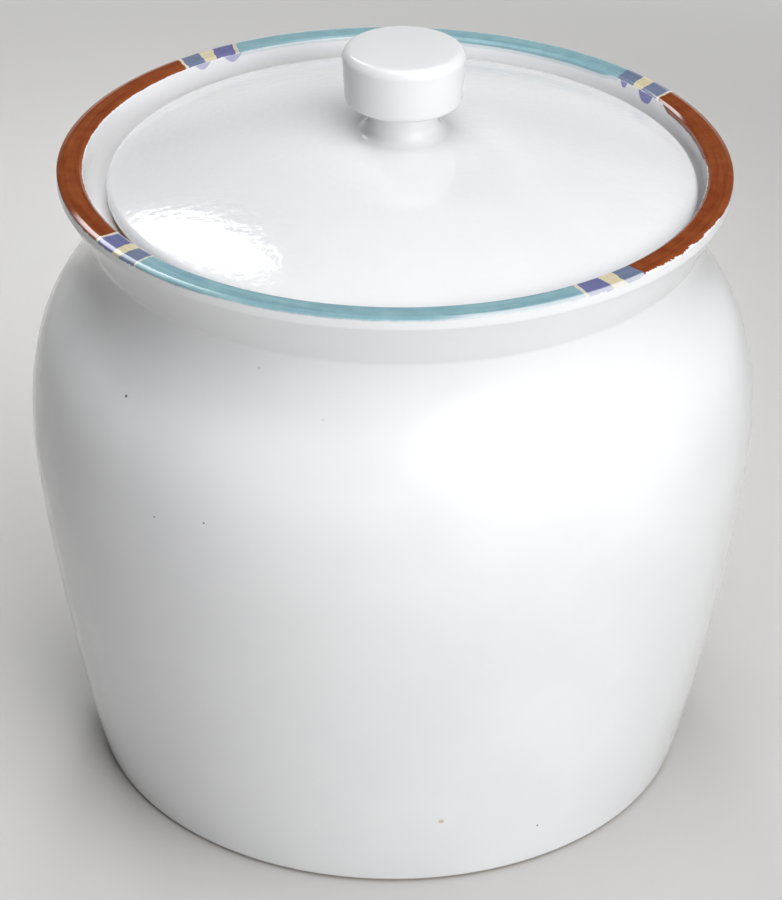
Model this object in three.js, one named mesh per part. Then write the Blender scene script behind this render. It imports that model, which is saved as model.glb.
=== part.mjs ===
// Stoneware kitchen canister: a bellied pot with a flared collar, and a domed lid that drops into it.
// Millimetres, +Z up. The origin is the middle of the foot ring, on the surface that the pot stands on.
// Every piece is turned: an outline of radius and height is carried round its own upright axis.

import * as THREE from "three";

// Pot, outside
const RIM_RADIUS = 84;
const RIM_HEIGHT = 165.4;
const RIM_WIDTH = 5.8;
const RIM_EDGE_HEIGHT = 3;
const RIM_OUTER_ROUND = 2.2;
const RIM_INNER_ROUND = 1.4;
const COLLAR_HEIGHT = 15.4;
const COLLAR_FLARE = 6;
const CREASE_ROUND = 2.5;
const SHOULDER_HEIGHT = 55.2;
const BELLY_BULGE = 9.5;
const FOOT_INSET = 5.3;
const FOOT_EDGE_ROUND = 1.5;
const FOOT_RING_WIDTH = 8;
const FOOT_RECESS = 2.5;

// How full the wall's two curves are: the lean at the foot, and how far the handles reach along the rise
const FOOT_LEAN = THREE.MathUtils.degToRad(15.1);
const FOOT_REACH = 0.24;
const BELLY_REACH_BELOW = 0.17;
const BELLY_REACH_ABOVE = 0.7;
const NECK_REACH = 0.385;

// Pot, inside
const WALL = 6;
const FLOOR = 7;
const FLOOR_CORNER_ROUND = 9;
const COLLAR_DRAFT = 1;
const LEDGE_DEPTH = 9.5;
const LEDGE_WIDTH = 10.7;
const LEDGE_THICKNESS = 6;
const GALLERY_ROUND = 4;
const THROAT_ROUND = 2;
const SHOULDER_KEPT_INSIDE = 0.82;

// Lid: it lies a little to the right of the pot's axis, inside the play that the collar leaves it
const LID_SHIFT = 1.8;
const LID_EDGE_GAP = 1.4;
const LID_EDGE = 4;
const LID_EDGE_ROUND = 1.8;
const LID_RISE = 12.4;
const LID_WALL = 6;
const FLANGE_GAP = 0.6;
const FLANGE_DEPTH = 9;
const FLANGE_WIDTH = 5;
const FLANGE_ROUND = 1.5;

// Knob
const KNOB_RADIUS = 15.6;
const KNOB_TAPER = 0.9;
const KNOB_HEAD_HEIGHT = 13.8;
const KNOB_CROWN = 0.5;
const KNOB_TOP_ROUND = 2.4;
const KNOB_UNDER_ROUND = 1.6;
const KNOB_NECK_RADIUS = 9.5;
const KNOB_NECK_HEIGHT = 8.1;
const KNOB_NECK_ROUND = 1.2;
const KNOB_FLARE = 3.2;
const KNOB_FOOT_EDGE = 0.4;

// Seal ring
const SEAL_THICKNESS = 1.5;
const SEAL_FIT = 0.3;
const SEAL_GAP = 0.3;
const SEAL_BEVEL = 0.4;

// Facets
const FACETS_ROUND_POT = 48;
const FACETS_ROUND_KNOB = 32;
const STEPS_LOWER_WALL = 7;
const STEPS_SHOULDER = 10;
const STEPS_DOME = 6;
const STEPS_ROUND = 3;

// Sizes that follow from the ones above
const bellyRadius = RIM_RADIUS + BELLY_BULGE;
const footRadius = RIM_RADIUS - FOOT_INSET;
const neckRadius = RIM_RADIUS - COLLAR_FLARE;
const neckHeight = RIM_HEIGHT - COLLAR_HEIGHT;
const bellyHeight = neckHeight - SHOULDER_HEIGHT;
const floorHeight = FOOT_RECESS + FLOOR;
const ledgeHeight = RIM_HEIGHT - LEDGE_DEPTH;
const rimInnerRadius = RIM_RADIUS - RIM_WIDTH;
const galleryRadius = rimInnerRadius - COLLAR_DRAFT;
const throatRadius = galleryRadius - LEDGE_WIDTH;
const lidRadius = galleryRadius - LID_SHIFT - LID_EDGE_GAP;
const flangeRadius = throatRadius - LID_SHIFT - FLANGE_GAP;
const knobFootRadius = KNOB_NECK_RADIUS + KNOB_FLARE;

// An outline is a list of corners. A corner is a point with the radius that rounds it, or no radius at all.
function corner(radius, height, round = 0) {
  return { point: new THREE.Vector2(radius, height), round };
}

// The arc that rounds one corner: it touches both sides, and takes up at most half of the shorter one.
function roundedCorner(before, { point, round }, after) {
  const toBefore = before.point.clone().sub(point);
  const toAfter = after.point.clone().sub(point);
  const room = Math.min(toBefore.length(), toAfter.length()) / 2;
  toBefore.normalize();
  toAfter.normalize();
  const halfAngle = Math.acos(toBefore.dot(toAfter)) / 2;
  const reach = Math.min(round / Math.tan(halfAngle), room);
  const arcRadius = reach * Math.tan(halfAngle);
  const inward = toBefore.clone().add(toAfter).normalize();
  const centre = point.clone().addScaledVector(inward, arcRadius / Math.sin(halfAngle));
  const start = point.clone().addScaledVector(toBefore, reach).sub(centre);
  const end = point.clone().addScaledVector(toAfter, reach).sub(centre);
  const turn = Math.atan2(start.cross(end), start.dot(end));
  return Array.from({ length: STEPS_ROUND + 1 }, (_, step) => {
    const angle = (turn * step) / STEPS_ROUND;
    return start.clone().rotateAround(new THREE.Vector2(), angle).add(centre);
  });
}

function outlinePoints(corners) {
  return corners.flatMap((here, i) =>
    here.round > 0 ? roundedCorner(corners[i - 1], here, corners[i + 1]) : [here.point]);
}

function turned(corners, facets) {
  return new THREE.LatheGeometry(outlinePoints(corners), facets).rotateX(Math.PI / 2);
}

// Corners along a curve; the ends can be left out where another corner takes their place.
function alongCurve(curve, steps, first = 0, last = steps) {
  return curve.getPoints(steps).slice(first, last + 1).map((p) => corner(p.x, p.y));
}

// Corners a wall's thickness inside a curve that climbs, up to a share of its length.
function insideCurve(curve, steps, share = 1) {
  return Array.from({ length: steps + 1 }, (_, step) => {
    const along = (share * step) / steps;
    const tangent = curve.getTangent(along);
    const point = curve.getPoint(along);
    return corner(point.x - tangent.y * WALL, point.y + tangent.x * WALL);
  });
}

// Height of a round dome above its edge, at a radius from its middle; the dome has a rise and a span.
function domeHeight(radius, rise, span) {
  const sphere = (span * span + rise * rise) / (2 * rise);
  return Math.sqrt(sphere * sphere - radius * radius) - (sphere - rise);
}

// Corners along such a dome, from one radius to another.
function alongDome(from, to, rise, span, base) {
  return Array.from({ length: STEPS_DOME + 1 }, (_, step) => {
    const radius = THREE.MathUtils.lerp(from, to, step / STEPS_DOME);
    return corner(radius, base + domeHeight(radius, rise, span));
  });
}

function glaze(colour, roughness) {
  return new THREE.MeshStandardMaterial({ color: colour, roughness, metalness: 0 });
}

// The pot's wall outside: one curve from the foot to the belly, and one over the shoulder to the neck.
const footHandle = FOOT_REACH * bellyHeight;
const lowerWall = new THREE.CubicBezierCurve(
  new THREE.Vector2(footRadius, 0),
  new THREE.Vector2(footRadius + footHandle * Math.tan(FOOT_LEAN), footHandle),
  new THREE.Vector2(bellyRadius, bellyHeight * (1 - BELLY_REACH_BELOW)),
  new THREE.Vector2(bellyRadius, bellyHeight),
);
const shoulder = new THREE.CubicBezierCurve(
  new THREE.Vector2(bellyRadius, bellyHeight),
  new THREE.Vector2(bellyRadius, bellyHeight + BELLY_REACH_ABOVE * SHOULDER_HEIGHT),
  new THREE.Vector2(neckRadius, neckHeight - NECK_REACH * SHOULDER_HEIGHT),
  new THREE.Vector2(neckRadius, neckHeight),
);

function canisterBody() {
  const footRingRadius = footRadius - FOOT_RING_WIDTH;
  const insideShoulder = insideCurve(shoulder, STEPS_SHOULDER, SHOULDER_KEPT_INSIDE);
  const insideLowerWall = insideCurve(lowerWall, STEPS_LOWER_WALL)
    .filter(({ point }) => point.y > floorHeight + FLOOR_CORNER_ROUND);
  const lowest = insideLowerWall[0].point;
  const floorRadius = lowest.x - (lowest.y - floorHeight) * Math.tan(FOOT_LEAN);
  return turned([
    corner(0, FOOT_RECESS),
    corner(footRingRadius, FOOT_RECESS),
    corner(footRingRadius, 0),
    corner(footRadius, 0, FOOT_EDGE_ROUND),
    ...alongCurve(lowerWall, STEPS_LOWER_WALL, 1),
    ...alongCurve(shoulder, STEPS_SHOULDER, 1, STEPS_SHOULDER - 1),
    corner(neckRadius, neckHeight, CREASE_ROUND),
    corner(RIM_RADIUS, RIM_HEIGHT - RIM_EDGE_HEIGHT),
    corner(RIM_RADIUS, RIM_HEIGHT, RIM_OUTER_ROUND),
    corner(rimInnerRadius, RIM_HEIGHT, RIM_INNER_ROUND),
    corner(galleryRadius, ledgeHeight, GALLERY_ROUND),
    corner(throatRadius, ledgeHeight, THROAT_ROUND),
    corner(throatRadius, ledgeHeight - LEDGE_THICKNESS, THROAT_ROUND),
    ...insideShoulder.reverse(),
    ...insideLowerWall.slice(0, -1).reverse(),
    corner(floorRadius, floorHeight, FLOOR_CORNER_ROUND),
    corner(0, floorHeight),
  ], FACETS_ROUND_POT);
}

// The lid's own zero height is the flat underside of its edge.
const lidTop = LID_EDGE + LID_RISE;
const knobSeat = LID_EDGE + domeHeight(knobFootRadius, LID_RISE, lidRadius);

function lidShell() {
  const flangeInside = flangeRadius - FLANGE_WIDTH;
  const hollowRise = LID_RISE * (flangeInside / lidRadius) ** 2;
  const hollowBase = lidTop - LID_WALL - hollowRise;
  return turned([
    ...alongDome(flangeInside, 0, hollowRise, flangeInside, hollowBase).reverse(),
    corner(flangeInside, -FLANGE_DEPTH, FLANGE_ROUND),
    corner(flangeRadius, -FLANGE_DEPTH, FLANGE_ROUND),
    corner(flangeRadius, 0),
    corner(lidRadius, 0, LID_EDGE_ROUND),
    corner(lidRadius, LID_EDGE, LID_EDGE_ROUND),
    ...alongDome(lidRadius - LID_EDGE_ROUND, knobFootRadius, LID_RISE, lidRadius, LID_EDGE),
    corner(0, knobSeat),
  ], FACETS_ROUND_POT);
}

// The knob's own zero height is the joint with the lid.
function lidKnob() {
  const headTop = KNOB_NECK_HEIGHT + KNOB_HEAD_HEIGHT;
  return turned([
    corner(0, 0),
    corner(knobFootRadius, 0),
    corner(knobFootRadius, KNOB_FOOT_EDGE),
    corner(KNOB_NECK_RADIUS, KNOB_FOOT_EDGE, KNOB_FLARE),
    corner(KNOB_NECK_RADIUS, KNOB_NECK_HEIGHT, KNOB_NECK_ROUND),
    corner(KNOB_RADIUS - KNOB_TAPER, KNOB_NECK_HEIGHT, KNOB_UNDER_ROUND),
    corner(KNOB_RADIUS, headTop, KNOB_TOP_ROUND),
    corner(KNOB_RADIUS / 2, headTop + domeHeight(KNOB_RADIUS / 2, KNOB_CROWN, KNOB_RADIUS)),
    corner(0, headTop + KNOB_CROWN),
  ], FACETS_ROUND_KNOB);
}

// The seal's own zero height is the ledge that it lies on.
function lidSeal() {
  const inside = flangeRadius + SEAL_FIT;
  const outside = galleryRadius - GALLERY_ROUND - LID_SHIFT - SEAL_GAP;
  return turned([
    corner(inside, 0),
    corner(outside - SEAL_BEVEL, 0),
    corner(outside, SEAL_BEVEL),
    corner(outside, SEAL_THICKNESS - SEAL_BEVEL),
    corner(outside - SEAL_BEVEL, SEAL_THICKNESS),
    corner(inside, SEAL_THICKNESS),
    corner(inside, 0),
  ], FACETS_ROUND_POT);
}

function piece(name, geometry, material, height) {
  const mesh = new THREE.Mesh(geometry, material);
  mesh.name = name;
  mesh.position.z = height;
  return mesh;
}

const lidSet = new THREE.Group();
lidSet.position.set(LID_SHIFT, 0, ledgeHeight);
lidSet.add(
  piece("lid_seal", lidSeal(), glaze(0xd8d6cc, 0.6), 0),
  piece("lid", lidShell(), glaze(0xecedee, 0.12), SEAL_THICKNESS),
  piece("lid_knob", lidKnob(), glaze(0xecedee, 0.12), SEAL_THICKNESS + knobSeat),
);

const canister = new THREE.Group();
canister.add(piece("canister_body", canisterBody(), glaze(0xecedee, 0.12), 0), lidSet);

export default canister;
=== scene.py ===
"""Looks of a stoneware canister: glazed pot with a painted rim, domed lid, drum-shaped knob and seal ring.

Every piece is an outline of radius and height carried round an upright axis. The script makes the pieces
round the packed frame, which gives the main sizes, and sets a plain stage with a camera.
"""

import math

import bpy
import numpy as np
from bpy.props import FloatProperty, FloatVectorProperty, PointerProperty
from mathutils import Matrix, Vector


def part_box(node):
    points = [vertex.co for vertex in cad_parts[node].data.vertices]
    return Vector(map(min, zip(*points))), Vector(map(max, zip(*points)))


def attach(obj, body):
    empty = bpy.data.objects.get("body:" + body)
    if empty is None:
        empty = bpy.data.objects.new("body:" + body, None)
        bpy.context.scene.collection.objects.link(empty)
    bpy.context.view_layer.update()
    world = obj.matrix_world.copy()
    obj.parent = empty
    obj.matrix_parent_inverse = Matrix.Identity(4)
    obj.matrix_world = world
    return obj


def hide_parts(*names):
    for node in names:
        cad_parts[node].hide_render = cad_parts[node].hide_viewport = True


bl_info = {
    "name": "Stoneware canister",
    "version": (1, 0, 0),
    "blender": (4, 5, 0),
    "location": "3D View > Sidebar > Canister",
    "description": "Makes a glazed stoneware canister with a painted rim and a drop-in lid",
    "category": "Add Mesh",
}

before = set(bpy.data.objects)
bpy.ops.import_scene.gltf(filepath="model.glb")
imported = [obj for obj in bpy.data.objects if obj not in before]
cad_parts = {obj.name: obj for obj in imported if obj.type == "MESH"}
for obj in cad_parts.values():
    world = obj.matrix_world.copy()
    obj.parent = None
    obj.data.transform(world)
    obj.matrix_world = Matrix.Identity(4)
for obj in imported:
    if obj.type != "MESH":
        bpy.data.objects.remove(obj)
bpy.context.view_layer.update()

POT_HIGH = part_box("canister_body")[1]
LID_LOW, LID_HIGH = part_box("lid")
KNOB_LOW, KNOB_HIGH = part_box("lid_knob")
SEAL_LOW, SEAL_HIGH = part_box("lid_seal")
LID_RADIUS = (LID_HIGH.x - LID_LOW.x) / 2
LID_CENTRE = (LID_HIGH.x + LID_LOW.x) / 2

MM = 0.001

# Steps round a piece, along a rounded corner and a curve, and along a face and an end of the ring's section.
ROUND_POT = 192
ROUND_KNOB = 128
ROUND_FLOOR = 96
STEPS_ARC = 14
STEPS_CURVE = 56
STEPS_FACE = 41
STEPS_END = 9
# Longest step along each outline, and the distance under which two points count as one.
POT_STEP = 2 * MM
LID_STEP = 1.8 * MM
KNOB_STEP = 0.8 * MM
SAME_POINT = 1e-9

# Waves by which a wall strays from a true round: share, number to a turn, phase, and drift with the height.
# They grow from nothing on the axis to their full size at a radius.
WAVES = ((0.6, 2, 0.7, 9), (0.3, 3, 2.1, -14), (0.2, 5, 4.0, 31))
WAVES_FULL = 20 * MM

# Stretches of the wall's two curves, from 0 at the lower end to 1 at the upper: outside they stop short of
# rounded corners, and inside of the floor and the ledge.
OUTER_LOWER = (0.03, 1.0)
OUTER_UPPER = (0.02, 0.975)
INNER_LOWER = (0.2, 1.0)
INNER_UPPER = (0.0, 0.82)
# Small roundings: inside the foot ring, under the rim's upright edge, and between the lid's flange and seat.
FOOT_RING_ROUND = 0.6 * MM
RIM_EDGE_ROUND = 1.5 * MM
SEAT_ROUND = 0.8 * MM
# The knob's hidden base: its depth under the flare's edge, its inset, and the flare's thin tail on the dome.
BASE_DEPTH = 0.5 * MM
BASE_INSET = 0.4 * MM
FLARE_TAIL = 0.3 * MM
# Distance from the knob's side to the crown's first point, in roundings of its upper edge.
CROWN_START = 1.5

# Paints round each quarter of the rim, from the back over the left, the front and the right: where each paint
# starts, in degrees from the front towards the right.
STRIPES = (
    ((-155.0, "turquoise"), (-148.2, "line"), (-147.4, "blue"), (-143.0, "cream"), (-140.1, "slate"),
     (-136.0, "line"), (-135.3, "terracotta")),
    ((-65.0, "terracotta"), (-57.4, "line"), (-56.7, "blue"), (-52.3, "cream"), (-50.1, "slate"),
     (-46.4, "line"), (-46.05, "turquoise")),
    ((25.0, "turquoise"), (31.7, "line"), (32.5, "blue"), (37.0, "cream"), (40.0, "slate"),
     (44.2, "terracotta")),
    ((115.0, "terracotta"), (120.2, "line"), (120.8, "slate"), (125.4, "cream"), (128.1, "slate"),
     (132.3, "turquoise")),
)
# Degrees that the stripes of a quarter take up.
STRIPES_SPAN = 25.0
# Stretches of the rim where paint reaches less far outside, laps further inside, is torn or is washed thin:
# the degrees at which each starts, is full, falls and ends.
FRONT_STRETCH = (-38, -26, 66, 80)
RIGHT_STRETCH = (42, 45, 60, 78)
DEEP_STRETCH = (88, 96, 115, 118)
BACK_STRETCH = (132.5, 136.5, 166, 178)
TORN_STRETCH = (43, 46, 54, 64)
WASH_STRETCH = (5, 14, 43.9, 44.2)
# Runs of blue inside the rim: middle and half width in degrees, length in millimetres, bluntness, strength.
DRIPS = (
    (-145.8, 2.2, 2.2, 1.7, 0.62), (-138.7, 2.1, 1.9, 1.7, 0.58),
    (123.3, 2.3, 3.0, 3.2, 0.95), (129.8, 1.0, 1.9, 2.4, 0.85),
)
# Flaws in the pot's glaze: place and size in millimetres, and the colour's name.
FLAWS = (
    ((-64.08, -57.07, 128.81), 0.45, "speck"), ((-44.37, -81.30, 108.23), 0.31, "speck"),
    ((-56.84, -73.70, 105.02), 0.27, "speck"), ((38.00, -72.47, 13.46), 0.36, "speck"),
    ((-17.24, -82.15, 164.13), 0.4, "speck"), ((-31.33, -71.84, 145.17), 0.5, "faint"),
    ((-16.18, -79.77, 135.93), 0.45, "faint"), ((13.35, -82.44, 21.92), 0.9, "fleck"),
)
# Share of a flaw's size inside which its colour is full.
FLAW_CORE = 0.6

# Patterns in the glaze: cells or waves to a metre, and depths of the bumps.
DRIFT_SCALE = 26.0
SPECK_SCALE = 46.0
SHEEN_SCALE = 60.0
RIPPLE_SCALE = 55.0
DIMPLE_SCALE = 400.0
PEEL_SCALE = 900.0
PEEL_DEPTH = 0.0022 * MM
POT_RIPPLE, POT_DIMPLES = 0.012 * MM, 0.002 * MM
LID_RIPPLE, LID_DIMPLES = 0.03 * MM, 0.085 * MM
# Shift of the lid's patterns, so that they don't go on from the pot's.
LID_SHIFT = (0.31, 0.17, 0.05)
# Values between which most of a noise lies, and between which glaze and paint go from thick to thin.
NOISE_SPAN = (0.3, 0.7)
GLAZE_SPAN = (0.35, 0.7)
PAINT_SPAN = (0.32, 0.68)
# Small specks: share of the cells that hold one, its edge as distances in a cell, and its strength.
SPECK_SHARE = 0.05
SPECK_EDGE = (0.02, 0.009)
SPECK_STRENGTH = 0.6
GLAZE_ROUGHNESS = (0.07, 0.11)
GLAZE_IOR = 1.5

# Paint: how far the stripes lean, in radians for each metre across the rim, and how far their ends stray.
STRIPE_LEAN = 8.7
STRIPE_STRAY = math.radians(0.6)
STRAY_SCALE = 260.0
# Brush marks along and across the rim, mottling, and the share of the brush marks in both.
BRUSH_SCALE = 45.0
BRISTLE_SCALE = 900.0
MOTTLE_SCALE = 240.0
BRUSH_SHARE = 0.6
# Ragged edges: two sizes of waves, the share inside the rim, and how much calmer soft paint is.
EDGE_SCALES = (210.0, 1000.0)
INNER_RAGGED = 0.5
SOFT_CALM = 1.2
# Blur of the edges, what soft paint adds to it, and the thin film that it leaves past the inner edge.
EDGE_BLUR = 0.07 * MM
SOFT_BLUR = 0.25 * MM
FILM_EDGE = (-1.1 * MM, -0.5 * MM)
FILM_STRENGTH = 0.3
# Where the wash begins outside the rim's middle and how much paint it takes away.
WASH_EDGE = (2.1 * MM, 2.5 * MM)
WASH_LOSS = 0.62
# Where drips begin past the inner lap, and their soft edge.
DRIP_START = 0.2 * MM
DRIP_EDGE = (-0.1 * MM, 0.4 * MM)
PAINT_DEPTH = 0.02 * MM

# Bare clay: its grain, and where glaze is left off, measured up from the foot, down from the ledge and up
# from the ring. At the ledge and on the lid's edge the darker clay is also painted shade, which darkens the
# gap round the lid.
CLAY_SCALE = 1400.0
CLAY_DEPTH = 0.12 * MM
CLAY_DARK = 0.78
CLAY_ROUGHNESS = 0.65
WIPED_EDGE = 0.4 * MM
FOOT_WIPED = (0.5 * MM, 0.2 * MM)
SEAT_BARE_SHADE_DROP = 1.6 * MM
SEAT_BARE_SHADE_INSET = 0.4 * MM
LID_BARE_SHADE_HEIGHT = 1.5 * MM
FLANGE_BARE_SHADE_INSET = 0.2 * MM

# Soft ring: clouds, moulded grain and gloss.
CLOUD_SCALE = 140.0
CLOUD_DARK = 0.9
MOULD_SCALE = 2600.0
MOULD_DEPTH = 0.004 * MM
SEAL_ROUGHNESS = (0.42, 0.55)
SEAL_IOR = 1.41

# Floor: outline of radius and height, a little under the foot, and its slight unevenness of tone.
FLOOR_TOP = -0.4 * MM
FLOOR_OUTLINE = ((0, -0.02), (8, -0.02), (8, FLOOR_TOP), (2, FLOOR_TOP), (0.4, FLOOR_TOP), (0, FLOOR_TOP))
FLOOR_SCALE = 3.0
FLOOR_DARK = 0.97
FLOOR_ROUGHNESS = 0.7
FLOOR_IOR = 1.3
# Upward parts of a direction between which the background gives way to the dim light overhead.
HORIZON = (0.34, 0.1)

# Lamps: name, setting of its power, point that it faces, angles in degrees from the front and above the floor
# with its roll, distance, width and height, evenly bright share, spread, and whether it shows in reflections.
BELLY = Vector((0.0, 0.0, 0.11))
LID_LEFT = Vector((-0.046, -0.043, 0.166))
FLOOR_BACK = Vector((-0.08, 0.2, 0.0))
LAMPS = (
    ("key_lamp", "key_power", BELLY, (39, 37, 0), 1.25, (1.7, 2.4), 0.5, 180, True),
    ("top_lamp", "top_power", BELLY, (0, 84, 0), 1.5, (1.6, 1.6), 0.0, 180, True),
    ("rear_lamp", "rear_power", LID_LEFT, (-154.1, 43, 10), 1.1, (0.17, 0.56), 0.7, 180, True),
    ("front_lamp", "front_power", BELLY, (22, 25, 0), 1.2, (0.9, 0.7), 0.0, 180, False),
    ("floor_lamp", "floor_power", FLOOR_BACK, (180, 52, 0), 0.65, (0.4, 0.25), 0.0, 55, False),
)

# Camera: its place, its turns in radians, and its lens and sensor in millimetres.
CAMERA_PLACE = (0, -0.72526, 0.50910)
CAMERA_PITCH = 0.5333
CAMERA_YAW = -0.0004
CAMERA_ROLL = 0.0117
CAMERA_LENS = 128
CAMERA_SENSOR = 36


def display(red, green, blue):
    """A display colour of 0 to 255 as the linear colour that a shader takes."""
    shown = np.array([red, green, blue]) / 255
    linear = np.where(shown <= 0.04045, shown / 12.92, ((shown + 0.055) / 1.055) ** 2.4)
    return tuple(linear.tolist())


def length(name, description, default):
    return FloatProperty(name=name, description=description, default=default, min=0.0, precision=5,
                         subtype="DISTANCE", unit="LENGTH")


def angle(name, description, default):
    return FloatProperty(name=name, description=description, default=math.radians(default),
                         subtype="ANGLE", unit="ROTATION")


def share(name, description, default):
    return FloatProperty(name=name, description=description, default=default, min=0.0, max=1.0,
                         subtype="FACTOR")


def power(name, description, default):
    return FloatProperty(name=name, description=description, default=default, min=0.0, subtype="POWER",
                         unit="POWER")


def colour(name, description, *default):
    return FloatVectorProperty(name=name, description=description, default=display(*default), size=3,
                               min=0.0, max=1.0, subtype="COLOR")


class PotSizes(bpy.types.PropertyGroup):
    """Sizes of the pot's outline"""

    rim_radius: length("Rim radius", "Outside of the rim", 84.4 * MM)
    rim_height: length("Rim height", "Top of the rim above the floor", POT_HIGH.z)
    rim_width: length("Rim width", "Width of the painted land on top of the rim", 6.5 * MM)
    rim_edge: length("Rim edge", "Height of the upright edge outside the rim", 3 * MM)
    rim_outer_slope: length("Outer slope", "Width of the slope outside the rim's land", 1.3 * MM)
    rim_inner_slope: length("Inner slope", "Width of the slope inside the rim's land", 0.9 * MM)
    rim_outer_fall: angle("Outer fall", "How steeply the slope outside the rim's land falls", 17.3)
    rim_inner_fall: angle("Inner fall", "How steeply the slope inside the rim's land falls", 32.0)
    rim_round: length("Rim rounding", "Rounding of the rim's edges", 0.3 * MM)
    collar_height: length("Collar height", "Rise from the crease of the neck to the rim", 15.4 * MM)
    collar_flare: length("Collar flare", "How far the collar leans out over its rise", 6.4 * MM)
    crease_round: length("Crease rounding", "Rounding where the shoulder turns into the collar", 2.5 * MM)
    shoulder_height: length("Shoulder height", "Rise from the belly to the crease of the neck", 55.2 * MM)
    belly_radius: length("Belly radius", "Widest radius of the pot", POT_HIGH.x)
    foot_radius: length("Foot radius", "Outside of the foot ring", 78.7 * MM)
    foot_round: length("Foot rounding", "Rounding of the foot's outer edge", 1.5 * MM)
    foot_width: length("Foot ring width", "Width of the bare ring that the pot stands on", 8 * MM)
    foot_recess: length("Foot recess", "How far the underside is raised inside the foot ring", 2.5 * MM)
    foot_lean: angle("Foot lean", "How far the wall leans out at the foot", 15.1)
    foot_reach: share("Fullness at the foot", "Handle of the lower wall's curve at the foot", 0.24)
    belly_reach_below: share("Fullness under the belly", "Handle of the lower wall's curve at the belly",
                             0.17)
    belly_reach_above: share("Fullness over the belly", "Handle of the shoulder's curve at the belly", 0.7)
    neck_reach: share("Fullness at the neck", "Handle of the shoulder's curve at the neck", 0.385)
    wall: length("Wall", "Thickness of the wall", 6 * MM)
    floor: length("Floor", "Thickness of the pot's floor", 7 * MM)
    floor_round: length("Floor rounding", "Rounding between the floor and the wall inside", 9 * MM)
    gallery_draft: length("Gallery draft", "How far the collar leans in down to the ledge", 0.7 * MM)
    ledge_width: length("Ledge width", "Width of the ledge that carries the lid", 10.7 * MM)
    ledge_thickness: length("Ledge thickness", "Thickness of the ledge that carries the lid", 6 * MM)
    gallery_round: length("Gallery rounding", "Rounding between the collar and the ledge", 4 * MM)
    throat_round: length("Throat rounding", "Rounding of the ledge's edges at the throat", 2 * MM)
    unevenness: length("Unevenness", "How far the wall strays from a true round", 0.16 * MM)


class LidSizes(bpy.types.PropertyGroup):
    """Sizes of the lid's outline"""

    edge: length("Edge", "Height of the lid's edge", 4 * MM)
    edge_round: length("Edge rounding", "Rounding of the lid's edge, above and below", 1.8 * MM)
    rise: length("Rise", "Rise of the dome from the edge to the middle", 12.4 * MM)
    wall: length("Wall", "Thickness of the dome", 6 * MM)
    flange_radius: length("Flange radius", "Outside of the flange under the lid", 64.1 * MM)
    flange_width: length("Flange width", "Thickness of the flange", 5 * MM)
    flange_round: length("Flange rounding", "Rounding of the flange's lower edges", 1.5 * MM)
    unevenness: length("Unevenness", "How far the dome strays from a true round", 0.1 * MM)


class KnobSizes(bpy.types.PropertyGroup):
    """Sizes of the knob's outline"""

    taper: length("Taper", "How far the head narrows towards its underside", 0.9 * MM)
    head_height: length("Head height", "Height of the drum-shaped head", 13.8 * MM)
    crown: length("Crown", "Rise of the head's top in the middle", 0.5 * MM)
    top_round: length("Top rounding", "Rounding of the head's upper edge", 2.4 * MM)
    under_round: length("Under rounding", "Rounding of the head's lower edge", 1.6 * MM)
    neck_radius: length("Neck radius", "Radius of the neck under the head", 8.7 * MM)
    neck_round: length("Neck rounding", "Rounding between the neck and the head", 1.2 * MM)
    flare: length("Flare", "Rounding between the neck and the lid", 3.7 * MM)
    sunk: length("Sunk", "How far the flare's edge is sunk into the lid's glaze", 0.06 * MM)


class SealSizes(bpy.types.PropertyGroup):
    """Sizes of the seal ring's section"""

    fit: length("Fit", "Play between the ring and the lid's flange", 0.3 * MM)
    edge_round: length("Edge rounding", "Rounding of the ring's edges", 0.45 * MM)
    groove: length("Groove", "Depth of the two moulded grooves on each face", 0.15 * MM)


class BandPaint(bpy.types.PropertyGroup):
    """Colours and places of the painted rim"""

    terracotta_deep: colour("Terracotta, deep", "Terracotta where it lies thick", 126, 56, 24)
    terracotta_pale: colour("Terracotta, pale", "Terracotta where it is brushed thin", 149, 80, 41)
    turquoise_deep: colour("Turquoise, deep", "Turquoise where it lies thick", 127, 166, 178)
    turquoise_pale: colour("Turquoise, pale", "Turquoise where it is brushed thin", 149, 187, 195)
    blue_deep: colour("Blue, deep", "Violet-blue bars where they lie thick", 102, 105, 152)
    blue_pale: colour("Blue, pale", "Violet-blue bars where they are brushed thin", 120, 123, 168)
    slate_deep: colour("Slate, deep", "Slate-blue bars where they lie thick", 106, 119, 146)
    slate_pale: colour("Slate, pale", "Slate-blue bars where they are brushed thin", 124, 136, 163)
    cream_deep: colour("Cream, deep", "Cream bars where they lie thick", 211, 199, 162)
    cream_pale: colour("Cream, pale", "Cream bars where they are brushed thin", 226, 217, 186)
    line_deep: colour("Line, deep", "Thin lines beside the bars where they lie thick", 206, 198, 176)
    line_pale: colour("Line, pale", "Thin lines beside the bars where they are brushed thin", 226, 222, 206)
    drip: colour("Drips", "Blue that has run down from the bars", 122, 122, 182)
    outer_lap: length("Outer lap", "How far paint reaches from the middle of the rim to the outside",
                      3.85 * MM)
    inner_lap: length("Inner lap", "How far paint reaches from the middle of the rim to the inside", 3.2 * MM)
    front_lap: length("Front lap", "How much less far paint reaches outside at the front", 0.35 * MM)
    right_lap: length("Right lap", "How much less again terracotta reaches outside at the front right",
                      0.6 * MM)
    deep_lap: length("Deep lap", "How much further terracotta laps down inside at the back right", 1.5 * MM)
    back_lap: length("Back lap", "How much further turquoise laps down inside at the back right", 0.9 * MM)
    ragged: length("Ragged edge", "How far the edges of the paint stray", 0.42 * MM)


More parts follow.
